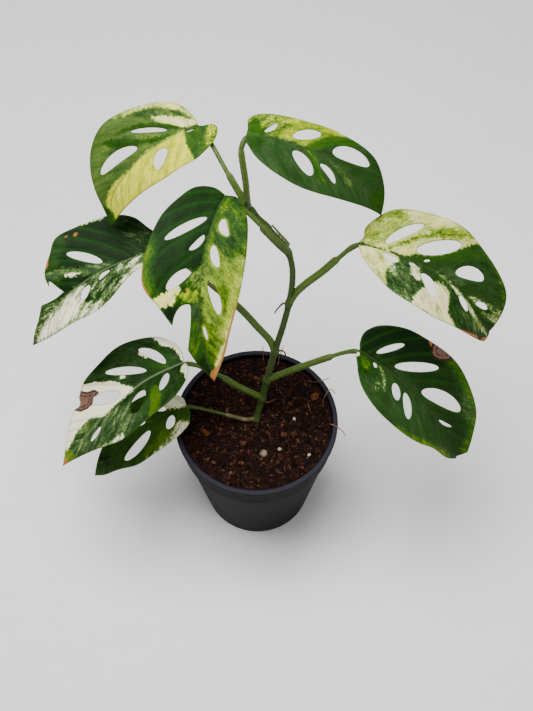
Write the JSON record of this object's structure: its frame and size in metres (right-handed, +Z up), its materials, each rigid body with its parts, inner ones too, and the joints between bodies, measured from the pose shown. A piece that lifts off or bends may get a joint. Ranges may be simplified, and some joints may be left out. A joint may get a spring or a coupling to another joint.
{
  "type": "potted variegated monstera laniata",
  "caption": "Young climbing aroid with pierced, variegated leaves on a leaning vine, in a black nursery pot of coir soil.",
  "frame": {"origin": "centre of the pot's flat underside", "axes": "+Z up out of the pot, -Y the plant's front, +X to the viewer's right"},
  "size_m": [0.3196, 0.1808, 0.3234],
  "materials": {
    "pot_plastic": "satin",
    "coir_soil": "matte",
    "vine_green": "satin",
    "petiole_green": "satin",
    "leaf_variegated": "satin",
    "root_brown": "matte",
    "dry_sheath": "matte",
    "pebble": "matte",
    "perlite": "matte",
    "bark": "matte",
    "coir_fibre": "matte"
  },
  "bodies": {
    "root": {"pot": "pot_plastic", "soil": "coir_soil", "vine": "vine_green", "petiole_low_left": "petiole_green", "blade_low_left": "leaf_variegated", "petiole_front_left": "petiole_green", "blade_front_left": "leaf_variegated", "petiole_low_right": "petiole_green", "blade_low_right": "leaf_variegated", "petiole_mid_left": "petiole_green", "blade_mid_left": "leaf_variegated", "petiole_right": "petiole_green", "blade_right": "leaf_variegated", "petiole_centre": "petiole_green", "blade_centre": "leaf_variegated", "petiole_top_left": "petiole_green", "blade_top_left": "leaf_variegated", "petiole_top_right": "petiole_green", "blade_top_right": "leaf_variegated", "aerial_root_upper": "root_brown", "aerial_root_middle": "root_brown", "aerial_root_lower": "root_brown", "old_sheath": "dry_sheath", "pale_pebble": "pebble", "perlite_front": "perlite", "perlite_middle": "perlite", "perlite_right": "perlite", "bark_chip_back": "bark", "bark_chip_right": "bark", "bark_chip_left": "bark", "bark_chip_front": "bark", "coir_strand_1": "coir_fibre", "coir_strand_2": "coir_fibre", "coir_strand_3": "coir_fibre", "coir_strand_4": "coir_fibre", "coir_strand_5": "coir_fibre", "coir_strand_6": "coir_fibre"}
  },
  "joints": []
}
